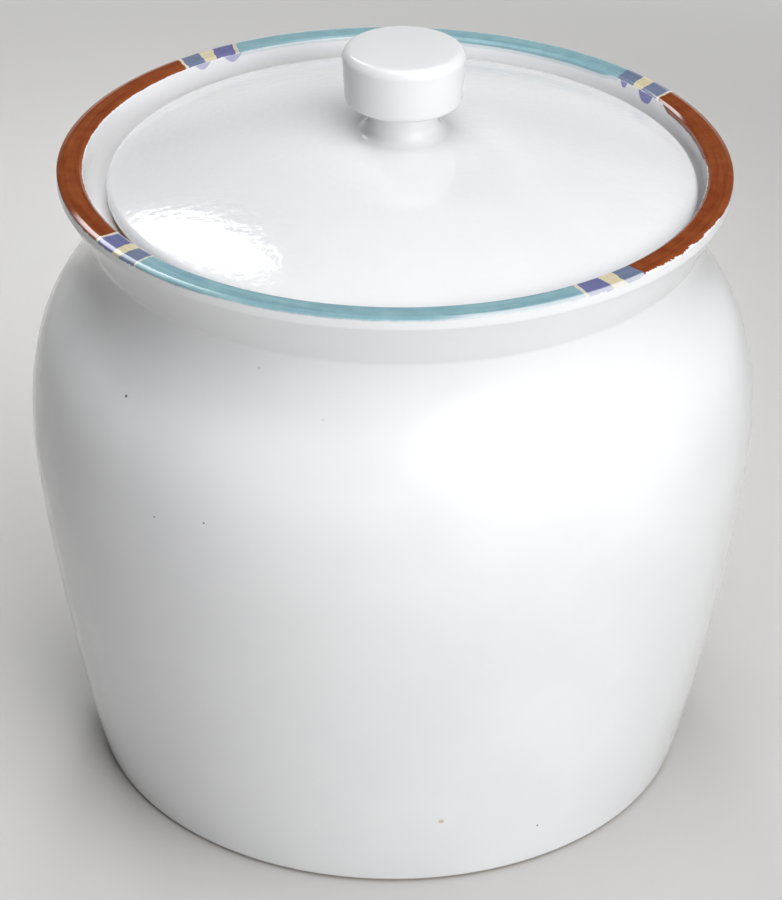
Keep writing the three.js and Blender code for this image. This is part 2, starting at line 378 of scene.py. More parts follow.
class GlazeFinish(bpy.types.PropertyGroup):
    """Colours of the glaze and what shows under it"""

    white: colour("White glaze", "White glaze where it is thick", 238, 239, 241)
    thin: colour("Thin glaze", "White glaze where it is thin", 234, 235, 238)
    speck: colour("Speck", "Iron specks under the glaze", 82, 78, 80)
    fleck: colour("Fleck", "Tan flaws in the glaze", 205, 197, 176)
    faint: colour("Faint fleck", "Pale flaws in the glaze", 221, 219, 213)
    # The clay colour also serves as painted shade on the ledge and the lid's edge, in the gap round the lid.
    clay: colour("Bare clay", "Unglazed clay of the foot ring and of the lid's seat", 182, 160, 134)
    seal: colour("Seal", "Soft ring under the lid", 226, 224, 214)


class StageLook(bpy.types.PropertyGroup):
    """Floor, background and lamps"""

    floor: colour("Floor", "Plain pale floor", 206, 205, 203)
    background: colour("Background", "Pale background beyond the floor", 214, 214, 213)
    fade_start: length("Fade start", "Distance from the pot's axis where the floor starts to fade away", 0.28)
    fade_end: length("Fade end", "Distance from the pot's axis where only the background shows", 0.75)
    ambient: share("Ambient", "Strength of the even light from all round", 0.05)
    key_power: power("Key lamp", "Tall soft lamp at the front right", 25.8)
    top_power: power("Top lamp", "Soft lamp overhead", 39.0)
    front_power: power("Front lamp", "Soft lamp at the front that fills the shadows", 19.5)
    rear_power: power("Rear lamp", "Upright strip lamp behind on the left", 2.6)
    floor_power: power("Floor lamp", "Small lamp behind that lifts the shadow on the floor", 1.2)


def bezier(points, start, stop):
    """Cubic curve: four points weighted by (1-t)^3, 3t(1-t)^2, 3t^2(1-t) and t^3, t evenly from start to
    stop. Gives the points and their unit tangents."""
    corners = np.array(points, float)
    t = np.linspace(start, stop, STEPS_CURVE)[:, None]
    s = 1 - t
    place = s**3 * corners[0] + 3 * t * s**2 * corners[1] + 3 * t**2 * s * corners[2] + t**3 * corners[3]
    sides = np.diff(corners, axis=0)
    tangent = s**2 * sides[0] + 2 * s * t * sides[1] + t**2 * sides[2]
    return place, tangent / np.linalg.norm(tangent, axis=1, keepdims=True)


def thickened(curve, wall):
    """A curve moved by the wall's thickness to the left of its tangents."""
    place, tangent = curve
    return place + wall * np.column_stack([-tangent[:, 1], tangent[:, 0]])


def dome(radius, rise, span):
    """Height above its edge of a round dome with a rise and a span: a slice of a sphere whose radius is
    (span^2 + rise^2) / (2 rise)."""
    sphere = (span**2 + rise**2) / (2 * rise)
    return np.sqrt(sphere**2 - radius**2) - (sphere - rise)


def corner_arc(before, point, after, rounding):
    """Arc that rounds a corner and touches both of its sides. Its centre lies on the bisector, at the
    rounding over the sine of half the corner's angle."""
    to_before = (before - point) / np.linalg.norm(before - point)
    to_after = (after - point) / np.linalg.norm(after - point)
    half = math.acos(float(to_before @ to_after)) / 2
    reach = rounding / math.tan(half)
    bisector = (to_before + to_after) / np.linalg.norm(to_before + to_after)
    centre = point + bisector * rounding / math.sin(half)
    start = point + to_before * reach - centre
    end = point + to_after * reach - centre
    sweep = math.atan2(start[0] * end[1] - start[1] * end[0], float(start @ end))
    turn = np.linspace(0, sweep, STEPS_ARC)
    return centre + np.column_stack([start[0] * np.cos(turn) - start[1] * np.sin(turn),
                                     start[0] * np.sin(turn) + start[1] * np.cos(turn)])


def outline(*parts):
    """One line of points from corners and curves. A corner is radius, height and rounding; a curve is an
    array of points. A corner with a rounding becomes an arc that touches its two neighbours."""
    ends = [np.atleast_2d(np.asarray(part, float)) for part in parts]
    line = []
    for i, part in enumerate(ends):
        if part.shape == (1, 3) and part[0, 2] > 0:
            line.append(corner_arc(ends[i - 1][-1, :2], part[0, :2], ends[i + 1][0, :2], part[0, 2]))
        else:
            line.append(part[:, :2])
    return np.vstack(line)


def refined(points, longest):
    """Cuts every straight run of an outline into equal steps no longer than a given length."""
    run = np.diff(points, axis=0)
    size = np.linalg.norm(run, axis=1)
    apart = size > SAME_POINT
    points = np.vstack([points[:1], points[1:][apart]])
    run, size = run[apart], size[apart]
    count = np.maximum(1, np.ceil(size / longest)).astype(int)
    first = np.repeat(np.cumsum(count) - count, count)
    along = (np.arange(count.sum()) - first) / np.repeat(count, count)
    steps = np.repeat(points[:-1], count, axis=0) + along[:, None] * np.repeat(run, count, axis=0)
    return np.vstack([steps, points[-1:]])


def hand_made(turn, height, size):
    """How far a wall strays from a true round: a sum of waves that drift round with the height."""
    return size * sum(part * np.sin(count * turn + phase + drift * height)
                      for part, count, phase, drift in WAVES)


def turned(name, line, around, centre, unevenness=0.0, closed=False):
    """Carries an outline of radius r and height z round an upright axis: x = cx + r sin a, y = -r cos a,
    where a is the angle from the front towards the right. An outline that isn't closed starts and ends on the
    axis, and its two end points become single poles."""
    ring = line if closed else line[1:-1]
    rows = len(ring)
    a = np.arange(around) * 2 * np.pi / around
    r = ring[:, :1] + np.minimum(1, ring[:, :1] / WAVES_FULL) * hand_made(a, ring[:, 1:], unevenness)
    grid = np.stack([centre + r * np.sin(a), -r * np.cos(a), np.broadcast_to(ring[:, 1:], r.shape)], -1)
    vertices = grid.reshape(-1, 3)
    index = np.arange(rows * around).reshape(rows, around)
    if closed:
        index = np.vstack([index, index[:1]])
    right = np.roll(index, -1, axis=1)
    quads = np.stack([index[:-1], right[:-1], right[1:], index[1:]], -1).reshape(-1, 4)
    corners = quads.ravel()
    sizes = np.full(len(quads), 4)
    if not closed:
        low, high = rows * around, rows * around + 1
        vertices = np.vstack([vertices, [centre, 0, line[0, 1]], [centre, 0, line[-1, 1]]])
        under = np.stack([np.full(around, low), right[0], index[0]], -1)
        over = np.stack([index[-1], right[-1], np.full(around, high)], -1)
        corners = np.concatenate([corners, under.ravel(), over.ravel()])
        sizes = np.concatenate([sizes, np.full(2 * around, 3)])
    mesh = bpy.data.meshes.new(name)
    mesh.vertices.add(len(vertices))
    mesh.vertices.foreach_set("co", vertices.astype(np.float32).ravel())
    mesh.loops.add(len(corners))
    mesh.loops.foreach_set("vertex_index", corners.astype(np.int32))
    mesh.polygons.add(len(sizes))
    mesh.polygons.foreach_set("loop_start", (np.cumsum(sizes) - sizes).astype(np.int32))
    mesh.polygons.foreach_set("use_smooth", np.ones(len(sizes), bool))
    mesh.update(calc_edges=True)
    if mesh.validate():
        raise RuntimeError(f"{name} has faces that a mesh can't hold")
    piece = bpy.data.objects.new(name, mesh)
    bpy.context.scene.collection.objects.link(piece)
    return piece


def pot_outline(sizes):
    """Outline of the pot: from the middle of the underside out over the foot, up the wall, over the rim, and
    down inside to the middle of the floor. The inside follows the two wall curves at the wall's thickness."""
    s = sizes
    neck = s.rim_radius - s.collar_flare
    neck_height = s.rim_height - s.collar_height
    belly_height = neck_height - s.shoulder_height
    handle = s.foot_reach * belly_height
    lower = [(s.foot_radius, 0), (s.foot_radius + handle * math.tan(s.foot_lean), handle),
             (s.belly_radius, belly_height * (1 - s.belly_reach_below)), (s.belly_radius, belly_height)]
    upper = [(s.belly_radius, belly_height),
             (s.belly_radius, belly_height + s.belly_reach_above * s.shoulder_height),
             (neck, neck_height - s.neck_reach * s.shoulder_height), (neck, neck_height)]
    rim_inside = s.rim_radius - s.rim_width
    gallery = rim_inside - s.gallery_draft
    throat = gallery - s.ledge_width
    ledge = SEAL_LOW.z
    floor = s.foot_recess + s.floor
    ring_inside = s.foot_radius - s.foot_width
    inner_low = thickened(bezier(lower, *INNER_LOWER), s.wall)
    inner_high = thickened(bezier(upper, *INNER_UPPER), s.wall)
    floor_radius = inner_low[0, 0] - (inner_low[0, 1] - floor) * math.tan(s.foot_lean)
    outer_drop = s.rim_outer_slope * math.tan(s.rim_outer_fall)
    inner_drop = s.rim_inner_slope * math.tan(s.rim_inner_fall)
    line = outline(
        (0, s.foot_recess, 0),
        (ring_inside, s.foot_recess, FOOT_RING_ROUND),
        (ring_inside, 0, FOOT_RING_ROUND),
        (s.foot_radius, 0, s.foot_round),
        bezier(lower, *OUTER_LOWER)[0],
        bezier(upper, *OUTER_UPPER)[0],
        (neck, neck_height, s.crease_round),
        (s.rim_radius, s.rim_height - s.rim_edge, RIM_EDGE_ROUND),
        (s.rim_radius, s.rim_height - outer_drop, s.rim_round),
        (s.rim_radius - s.rim_outer_slope, s.rim_height, 2 * s.rim_round),
        (s.rim_radius - s.rim_width / 2, s.rim_height, 0),
        (rim_inside + s.rim_inner_slope, s.rim_height, 2 * s.rim_round),
        (rim_inside, s.rim_height - inner_drop, s.rim_round),
        (gallery, ledge, s.gallery_round),
        (throat, ledge, s.throat_round),
        (throat, ledge - s.ledge_thickness, s.throat_round),
        inner_high[::-1],
        inner_low[::-1][1:],
        (floor_radius, floor, s.floor_round),
        (0, floor, 0),
    )
    return refined(line, POT_STEP)


def lid_outline(sizes):
    """Outline of the lid: from the middle of its hollow out under the dome, round the flange and the edge,
    and over the dome to the middle. Both domes are slices of a sphere, and the upper one starts clear of the
    edge's rounding."""
    s, radius = sizes, LID_RADIUS
    base = SEAL_HIGH.z
    foot = LID_LOW.z
    inside = s.flange_radius - s.flange_width
    hollow_rise = s.rise * (inside / radius) ** 2
    hollow_base = base + s.edge + s.rise - s.wall - hollow_rise
    under = np.linspace(0, inside - s.flange_round, STEPS_CURVE)
    over = np.linspace(radius - s.edge_round, 0, STEPS_CURVE)[2:]
    line = outline(
        np.column_stack([under, hollow_base + dome(under, hollow_rise, inside)]),
        (inside, hollow_base, s.flange_round),
        (inside, foot, s.flange_round),
        (s.flange_radius, foot, s.flange_round),
        (s.flange_radius, base, SEAT_ROUND),
        (radius, base, s.edge_round),
        (radius, base + s.edge, s.edge_round),
        np.column_stack([over, base + s.edge + dome(over, s.rise, radius)]),
    )
    return refined(line, LID_STEP)


def knob_outline(sizes, lid):
    """Outline of the knob: a flare that leaves the lid's dome along its slope, an upright neck, and a
    drum-shaped head with rounded edges and a crowned top."""
    s = sizes
    radius = (KNOB_HIGH.x - KNOB_LOW.x) / 2
    edge_height = SEAL_HIGH.z + lid.edge
    flare_radius = s.neck_radius + s.flare
    foot = edge_height + float(dome(flare_radius, lid.rise, LID_RADIUS)) - s.sunk
    bend = edge_height + float(dome(s.neck_radius, lid.rise, LID_RADIUS)) - s.sunk
    top = KNOB_HIGH.z - s.crown
    under = top - s.head_height
    crown = np.linspace(radius - CROWN_START * s.top_round, 0, STEPS_CURVE // 2)
    line = outline(
        (0, foot - BASE_DEPTH, 0),
        (flare_radius - BASE_INSET, foot - BASE_DEPTH, 0),
        (flare_radius + FLARE_TAIL, foot, 0),
        (s.neck_radius, bend, s.flare),
        (s.neck_radius, under, s.neck_round),
        (radius - s.taper, under, s.under_round),
        (radius, top, s.top_round),
        np.column_stack([crown, top + dome(crown, s.crown, radius)]),
    )
    return refined(line, KNOB_STEP)


def seal_outline(sizes, inside, outside):
    """Closed section of the seal ring: a flat band with rounded edges, its two faces dipped by a raised
    cosine into two shallow grooves."""
    s = sizes
    middle = (SEAL_LOW.z + SEAL_HIGH.z) / 2
    half = (SEAL_HIGH.z - SEAL_LOW.z) / 2
    radius = np.linspace(inside + s.edge_round, outside - s.edge_round, STEPS_FACE)
    phase = (radius - radius[0]) / (radius[-1] - radius[0])
    height = half - s.groove * 0.5 * (1 - np.cos(4 * np.pi * phase))
    turn = np.linspace(-np.pi / 2, np.pi / 2, STEPS_END)[1:-1]
    side = half - s.edge_round
    end = np.column_stack([s.edge_round * np.cos(turn), s.edge_round * np.sin(turn) + side * np.sign(turn)])
    lower = np.column_stack([radius, middle - height])
    upper = np.column_stack([radius, middle + height])
    outer = np.array([radius[-1], middle]) + end
    inner = np.array([radius[0], middle]) + end * [-1, 1]
    return np.vstack([lower, outer, upper[::-1], inner[::-1]])


class Nodes:
    """Short ways to add and link the shader nodes of one material or world."""

    def __init__(self, tree):
        self.tree = tree
        self.tree.nodes.clear()

    def put(self, socket, value):
        if isinstance(value, bpy.types.NodeSocket):
            self.tree.links.new(value, socket)
        elif value is not None:
            socket.default_value = value

    def add(self, kind, inputs=(), **settings):
        node = self.tree.nodes.new(kind)
        for key, value in settings.items():
            setattr(node, key, value)
        for key, value in dict(inputs).items():
            self.put(node.inputs[key], value)
        return node

    def math(self, operation, *values, clamp=False):
        node = self.add("ShaderNodeMath", dict(enumerate(values)), operation=operation, use_clamp=clamp)
        return node.outputs[0]

    def times(self, *values):
        return self.math("MULTIPLY", *values)

    def axes(self, vector):
        return self.add("ShaderNodeSeparateXYZ", {"Vector": vector}).outputs

    def vector(self, operation, *values):
        node = self.add("ShaderNodeVectorMath", dict(enumerate(values)), operation=operation)
        return node.outputs["Value" if operation in ("DISTANCE", "LENGTH") else "Vector"]

    def ramp(self, value, low, high, to_low=0.0, to_high=1.0):
        """Maps low to to_low and high to to_high along a smooth step."""
        inputs = {"Value": value, "From Min": low, "From Max": high, "To Min": to_low, "To Max": to_high}
        return self.add("ShaderNodeMapRange", inputs, interpolation_type="SMOOTHSTEP").outputs["Result"]

    def mix(self, factor, first, second):
        node = self.add("ShaderNodeMix", data_type="RGBA")
        self.put(node.inputs["Factor"], factor)
        for name, value in (("A", first), ("B", second)):
            socket = next(i for i in node.inputs if i.name == name and i.type == "RGBA")
            self.put(socket, value if isinstance(value, bpy.types.NodeSocket) else (*value, 1.0))
        return next(o for o in node.outputs if o.type == "RGBA")

    def noise(self, place, scale, detail=2.0, roughness=0.5):
        inputs = {"Vector": place, "Scale": scale, "Detail": detail, "Roughness": roughness}
        return self.add("ShaderNodeTexNoise", inputs).outputs["Fac"]

    def bump(self, height, depth, normal=None):
        inputs = {"Height": height, "Distance": depth, "Strength": 1.0, "Normal": normal}
        return self.add("ShaderNodeBump", inputs).outputs["Normal"]


def new_material(name):
    """Empty material, its nodes, and the places that its patterns read."""
    material = bpy.data.materials.new(name)
    material.use_nodes = True
    n = Nodes(material.node_tree)
    return material, n, n.add("ShaderNodeTexCoord").outputs["Object"]


def finish_material(n, base, roughness, normal, ior=GLAZE_IOR, **more):
    shader = n.add("ShaderNodeBsdfPrincipled", {"Base Color": base, "Roughness": roughness, "Normal": normal,
                                                 "IOR": ior, **more})
    output = n.add("ShaderNodeOutputMaterial")
    n.put(output.inputs["Surface"], shader.outputs["BSDF"])


def from_axis(n, place, centre):
    """Distance from an upright axis."""
    level = n.vector("MULTIPLY", n.vector("SUBTRACT", place, (centre, 0.0, 0.0)), (1.0, 1.0, 0.0))
    return n.vector("LENGTH", level)


def glaze_ground(n, finish, place, ripple=POT_RIPPLE, dimples=POT_DIMPLES):
    """Colour, roughness and normal of white glaze: a soft drift between thick and thin glaze, rare iron
    specks, slow ripples, shallow dimples, and the fine orange peel of a fired surface."""
    drift = n.noise(place, DRIFT_SCALE, 3.0)
    white = n.mix(n.ramp(drift, *GLAZE_SPAN), finish.white, finish.thin)
    cells = n.add("ShaderNodeTexVoronoi", {"Vector": place, "Scale": SPECK_SCALE})
    chance = n.add("ShaderNodeSeparateColor", {"Color": cells.outputs["Color"]}).outputs[0]
    rare = n.math("LESS_THAN", chance, SPECK_SHARE)
    speck = n.times(n.ramp(cells.outputs["Distance"], *SPECK_EDGE), rare)
    white = n.mix(n.times(speck, SPECK_STRENGTH), white, finish.speck)
    roughness = n.ramp(n.noise(place, SHEEN_SCALE), *NOISE_SPAN, *GLAZE_ROUGHNESS)
    waves = n.bump(n.noise(place, RIPPLE_SCALE, 1.0), ripple)
    dimpled = n.bump(n.noise(place, DIMPLE_SCALE), dimples, waves)
    normal = n.bump(n.noise(place, PEEL_SCALE, 1.0), PEEL_DEPTH, dimpled)
    return white, roughness, normal


def spots(n, place, ground, flaws):
    """Round flaws in the glaze with soft edges: a place, a size and a colour each."""
    for point, size, tone in flaws:
        near = n.ramp(n.vector("DISTANCE", place, point), size, FLAW_CORE * size)
        ground = n.mix(near, ground, tone)
    return ground


def striped(n, turn, band, depth):
    """Paint at an angle round the rim: a stepped ramp over the stripes of each quarter, whose ends go on to
    the next quarter. The ramps' alpha marks paint that ends in a soft edge."""
    tone = soft = None
    for quarter, stripes in enumerate(STRIPES):
        first = math.radians(stripes[0][0])
        along = n.math("DIVIDE", n.math("SUBTRACT", turn, first), math.radians(STRIPES_SPAN), clamp=True)
        ramp = n.add("ShaderNodeValToRGB", {"Fac": along})
        ramp.color_ramp.interpolation = "CONSTANT"
        elements = ramp.color_ramp.elements
        elements.remove(elements[1])
        for i, (start, paint) in enumerate(stripes):
            element = elements[0] if i < 1 else elements.new((start - stripes[0][0]) / STRIPES_SPAN)
            element.color = (*getattr(band, f"{paint}_{depth}"), float(paint == "turquoise"))
        if quarter < 1:
            tone, soft = ramp.outputs
        else:
            past = n.math("GREATER_THAN", turn, math.radians(90 * quarter - 180))
            tone = n.mix(past, tone, ramp.outputs["Color"])
            soft = n.math("MULTIPLY_ADD", past, n.math("SUBTRACT", ramp.outputs["Alpha"], soft), soft)
    return tone, soft


def between(n, turn, start, full, falling, end):
    """One between two angles in degrees and nothing outside them, with smooth steps at both."""
    return n.times(n.ramp(turn, math.radians(start), math.radians(full)),
                   n.ramp(turn, math.radians(end), math.radians(falling)))


def rim_colour(n, band, place, across, turn):
    """Colour of the painted rim, and how far it is paint with soft edges. The stripes lean a little at the
    back, and the paint is brushed along the rim and mottled."""
    back = n.math("MAXIMUM", n.times(n.math("COSINE", turn), -1.0), 0.0)
    side = n.times(n.math("SINE", turn), back)
    lean = n.times(side, n.times(across, STRIPE_LEAN))
    stray = n.math("MULTIPLY_ADD", n.noise(place, STRAY_SCALE), 2 * STRIPE_STRAY, -STRIPE_STRAY)
    at = n.math("ADD", n.math("SUBTRACT", turn, lean), stray)
    (deep, soft), (pale, _) = striped(n, at, band, "deep"), striped(n, at, band, "pale")
    along = n.vector("MULTIPLY", place, (BRUSH_SCALE, BRUSH_SCALE, 0.0))
    bristles = n.add("ShaderNodeCombineXYZ", {"Z": n.times(across, BRISTLE_SCALE)})
    brushed = n.noise(n.vector("ADD", along, bristles.outputs[0]), 1.0, 3.0, 0.6)
    mottled = n.noise(place, MOTTLE_SCALE, 3.0, 0.6)
    tone = n.math("MULTIPLY_ADD", brushed, BRUSH_SHARE, n.times(mottled, 1.0 - BRUSH_SHARE))
    return n.mix(n.ramp(tone, *PAINT_SPAN), deep, pale), soft


def rim_cover(n, band, place, across, turn, soft):
    """How far paint covers the glaze. Across the rim it stops at two ragged edges, with a thin wash outside
    at the front right and a thin film past the inner edge of soft paint."""
    outer_lap = n.math("MULTIPLY_ADD", between(n, turn, *FRONT_STRETCH), -band.front_lap, band.outer_lap)
    outer_lap = n.math("MULTIPLY_ADD", between(n, turn, *RIGHT_STRETCH), -band.right_lap, outer_lap)
    inner_lap = n.math("MULTIPLY_ADD", between(n, turn, *DEEP_STRETCH), band.deep_lap, band.inner_lap)
    inner_lap = n.math("MULTIPLY_ADD", between(n, turn, *BACK_STRETCH), band.back_lap, inner_lap)
    waves = n.math("ADD", *(n.noise(place, scale) for scale in EDGE_SCALES))
    stray = n.math("MULTIPLY_ADD", soft, -SOFT_CALM * band.ragged, 2 * band.ragged)
    ragged = n.times(n.math("SUBTRACT", waves, 1.0), stray)
    torn = n.math("ADD", between(n, turn, *TORN_STRETCH), 1.0)
    outside = n.math("SUBTRACT", n.math("MULTIPLY_ADD", ragged, torn, outer_lap), across)
    inside = n.math("ADD", n.math("MULTIPLY_ADD", ragged, INNER_RAGGED, inner_lap), across)
    blur = n.math("MULTIPLY_ADD", soft, SOFT_BLUR, EDGE_BLUR)
    sharp = n.times(blur, -1.0)
    film = n.times(n.ramp(inside, *FILM_EDGE), n.times(soft, FILM_STRENGTH))
    inner = n.math("MAXIMUM", n.ramp(inside, sharp, blur), film)
    covered = n.times(n.ramp(outside, sharp, blur), inner)
    wash = n.times(n.ramp(across, *WASH_EDGE), between(n, turn, *WASH_STRETCH))
    return n.times(covered, n.math("MULTIPLY_ADD", wash, -WASH_LOSS, 1.0))


def rim_drips(n, band, base, across, turn):
    """Blue that has run down inside the rim: under each drip the limit of the paint drops by the drip's
    length times one less a power of the distance from the drip's middle over its half width."""
    for middle, half, run, bluntness, strength in DRIPS:
        off = n.math("ABSOLUTE", n.math("SUBTRACT", turn, math.radians(middle)))
        off = n.math("DIVIDE", off, math.radians(half))
        tongue = n.math("SUBTRACT", 1.0, n.math("POWER", off, bluntness))
        limit = n.math("MULTIPLY_ADD", tongue, run * MM, band.inner_lap)
        depth = n.math("ADD", limit, across)
        past = n.ramp(across, -band.inner_lap, -band.inner_lap - DRIP_START)
        drip = n.times(n.times(n.ramp(depth, *DRIP_EDGE), past), strength)
        base = n.mix(drip, base, band.drip)
    return base


def bare_clay_and_gap_shade(n, finish, place, bare, base, roughness, normal):
    """Colour, roughness and normal with grainy clay where the mask is bare: the unglazed foot, and on the
    ledge and the lid's edge clay that is also painted shade, darkening the gap round the lid.
    """
    grain = n.noise(place, CLAY_SCALE, 3.0, 0.7)
    clay = n.mix(grain, CLAY_DARK * finish.clay, finish.clay)
    return (n.mix(bare, base, clay), n.math("MULTIPLY_ADD", bare, CLAY_ROUGHNESS, roughness),
            n.bump(n.times(grain, bare), CLAY_DEPTH, normal))


def pot_material(sizes, band, finish):
    """White glaze with a painted rim and iron specks. The foot ring and the seat under the lid are bare; on
    the seat the darker clay is also painted shade in the gap round the lid.
    """
    material, n, place = new_material("pot_glaze")
    axes = n.axes(place)
    ground, roughness, normal = glaze_ground(n, finish, place)
    across = n.add("ShaderNodeAttribute", attribute_name="rim_across").outputs["Fac"]
    turn = n.math("ARCTAN2", axes["X"], n.times(axes["Y"], -1.0))
    paint, soft = rim_colour(n, band, place, across, turn)
    covered = rim_cover(n, band, place, across, turn, soft)
    base = rim_drips(n, band, n.mix(covered, ground, paint), across, turn)
    flaws = [(Vector(point) * MM, size * MM, getattr(finish, tone)) for point, size, tone in FLAWS]
    base = spots(n, place, base, flaws)
    normal = n.bump(covered, PAINT_DEPTH, normal)
    radius = from_axis(n, place, 0.0)
    ring_inside = sizes.foot_radius - sizes.foot_width
    foot = n.times(n.ramp(axes["Z"], *FOOT_WIPED),
                   n.ramp(radius, ring_inside, ring_inside + WIPED_EDGE))
    # Bare seat on the ledge under the lid: darker clay that is also painted shade in the gap round the lid.
    under_lid = LID_RADIUS - LID_CENTRE - SEAT_BARE_SHADE_INSET
    seat_low = SEAL_LOW.z - SEAT_BARE_SHADE_DROP
    seat = n.times(n.ramp(radius, under_lid, under_lid - WIPED_EDGE),
                   n.ramp(axes["Z"], seat_low, seat_low + WIPED_EDGE))
    bare = n.math("MAXIMUM", foot, seat)
    finish_material(n, *bare_clay_and_gap_shade(n, finish, place, bare, base, roughness, normal))
    return material


def lid_material(sizes, finish):
    """White glaze with shallow dimples. The lid's seat and its flange are bare; the darker clay at the foot
    of the edge is also painted shade in the gap between the lid and the collar.
    """
    material, n, place = new_material("lid_glaze")
    axes = n.axes(place)
    # Bare band at the foot of the lid's edge and under it: darker clay that is also painted shade in the gap.
    bare_shade_top = SEAL_HIGH.z + LID_BARE_SHADE_HEIGHT
    inside = sizes.flange_radius - sizes.flange_width + FLANGE_BARE_SHADE_INSET
    bare = n.times(n.ramp(axes["Z"], bare_shade_top + WIPED_EDGE, bare_shade_top),
                   n.ramp(from_axis(n, place, LID_CENTRE), inside, inside + WIPED_EDGE))
    ground = glaze_ground(n, finish, n.vector("ADD", place, LID_SHIFT), LID_RIPPLE, LID_DIMPLES)
    finish_material(n, *bare_clay_and_gap_shade(n, finish, place, bare, *ground))
    return material


def knob_material(finish):
    """Plain white glaze."""
    material, n, place = new_material("knob_glaze")
    finish_material(n, *glaze_ground(n, finish, place))
    return material


def seal_material(finish):
    """Satin, slightly cloudy ring with a fine moulded grain."""
    material, n, place = new_material("seal_rubber")
    cloud = n.noise(place, CLOUD_SCALE, 3.0)
    base = n.mix(n.ramp(cloud, *NOISE_SPAN), CLOUD_DARK * finish.seal, finish.seal)
    normal = n.bump(n.noise(place, MOULD_SCALE, 1.0), MOULD_DEPTH)
    finish_material(n, base, n.ramp(cloud, *NOISE_SPAN, *SEAL_ROUGHNESS), normal, SEAL_IOR)
    return material


def dressed(piece, material, body, node):
    """Gives a piece its material and its body, and hides the node that it stands for."""
    piece.data.materials.append(material)
    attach(piece, body)
    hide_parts(node)


class CANISTER_OT_pot(bpy.types.Operator):
    """Make the glazed pot with its painted rim"""

    bl_idname = "canister.make_pot"
    bl_label = "Pot"

    def execute(self, context):
        sizes = context.scene.canister_pot
        line = pot_outline(sizes)
        piece = turned("pot_glazed", line, ROUND_POT, 0.0, sizes.unevenness)
        steps = np.concatenate([[0], np.cumsum(np.linalg.norm(np.diff(line, axis=0), axis=1))])
        land = np.hypot(line[:, 0] - (sizes.rim_radius - sizes.rim_width / 2), line[:, 1] - sizes.rim_height)
        across = steps[np.argmin(land)] - steps
        values = np.concatenate([np.repeat(across[1:-1], ROUND_POT), across[[0, -1]]])
        rim = piece.data.attributes.new("rim_across", "FLOAT", "POINT")
        rim.data.foreach_set("value", values.astype(np.float32))
        material = pot_material(sizes, context.scene.canister_band, context.scene.canister_glaze)
        dressed(piece, material, "pot", "canister_body")
        return {"FINISHED"}


class CANISTER_OT_lid(bpy.types.Operator):
    """Make the glazed lid and the knob on it"""

    bl_idname = "canister.make_lid"
    bl_label = "Lid and knob"

    def execute(self, context):
        sizes = context.scene.canister_lid
        glaze = context.scene.canister_glaze
        line = lid_outline(sizes)
        lid = turned("lid_glazed", line, ROUND_POT, LID_CENTRE, sizes.unevenness)
        dressed(lid, lid_material(sizes, glaze), "lid_and_knob", "lid")
        line = knob_outline(context.scene.canister_knob, sizes)
        knob = turned("knob_glazed", line, ROUND_KNOB, LID_CENTRE)
        dressed(knob, knob_material(glaze), "lid_and_knob", "lid_knob")
        return {"FINISHED"}


class CANISTER_OT_seal(bpy.types.Operator):
    """Make the soft ring that the lid lies on"""

    bl_idname = "canister.make_seal"
    bl_label = "Seal ring"

    def execute(self, context):
        sizes = context.scene.canister_seal
        inside = context.scene.canister_lid.flange_radius + sizes.fit
        line = seal_outline(sizes, inside, (SEAL_HIGH.x - SEAL_LOW.x) / 2)
        piece = turned("seal_ring_soft", line, ROUND_POT, LID_CENTRE, closed=True)
        dressed(piece, seal_material(context.scene.canister_glaze), "seal_ring", "lid_seal")
        return {"FINISHED"}


def soft_lamp(name, watts, aim, angles, distance, size, core, spread, reflected):
    """Lamp that faces a point from a distance. Its light falls off smoothly from an even core to the edges,
    so its reflection has soft edges."""
    azimuth, elevation, roll = (math.radians(part) for part in angles)
    data = bpy.data.lights.new(name, "AREA")
    data.shape = "RECTANGLE"
    data.size, data.size_y = size
    data.energy = watts
    data.spread = math.radians(spread)
    data.use_nodes = True
    n = Nodes(data.node_tree)
    middle = n.vector("SUBTRACT", n.add("ShaderNodeNewGeometry").outputs["Parametric"], (0.5, 0.5, 0.0))
    off = n.vector("LENGTH", n.vector("MULTIPLY", middle, (2.0, 2.0, 0.0)))
    light = n.add("ShaderNodeEmission", {"Strength": n.ramp(off, 1.0, core)})
    n.put(n.add("ShaderNodeOutputLight").inputs["Surface"], light.outputs["Emission"])
    lamp = bpy.data.objects.new(name, data)
    towards = Vector((math.sin(azimuth) * math.cos(elevation), -math.cos(azimuth) * math.cos(elevation),
                      math.sin(elevation)))
    facing = towards.to_track_quat("Z", "Y").to_matrix().to_4x4() @ Matrix.Rotation(roll, 4, "Z")
    lamp.matrix_world = Matrix.Translation(aim + distance * towards) @ facing
    lamp.visible_camera = False
    lamp.visible_glossy = reflected
    bpy.context.scene.collection.objects.link(lamp)


def seen_directly(n):
    """One for rays from the camera or from a glossy or clear surface, and nothing for others."""
    ray = n.add("ShaderNodeLightPath").outputs
    seen = n.math("MAXIMUM", ray["Is Camera Ray"], ray["Is Glossy Ray"])
    return n.math("MAXIMUM", seen, ray["Is Transmission Ray"])


def make_floor(look):
    """Round pale floor that keeps the shadow and fades into the background."""
    floor = turned("floor", np.array(FLOOR_OUTLINE), ROUND_FLOOR, 0.0)
    material, n, place = new_material("pale_floor")
    shade = n.mix(n.noise(place, FLOOR_SCALE), FLOOR_DARK * look.floor, look.floor)
    far = n.ramp(n.vector("LENGTH", place), look.fade_start, look.fade_end)
    faded = n.times(far, seen_directly(n))
    glow = {"Emission Color": (*look.background, 1.0), "Emission Strength": faded}
    finish_material(n, n.mix(faded, shade, (0.0, 0.0, 0.0)), FLOOR_ROUGHNESS, None, FLOOR_IOR, **glow)
    floor.data.materials.append(material)


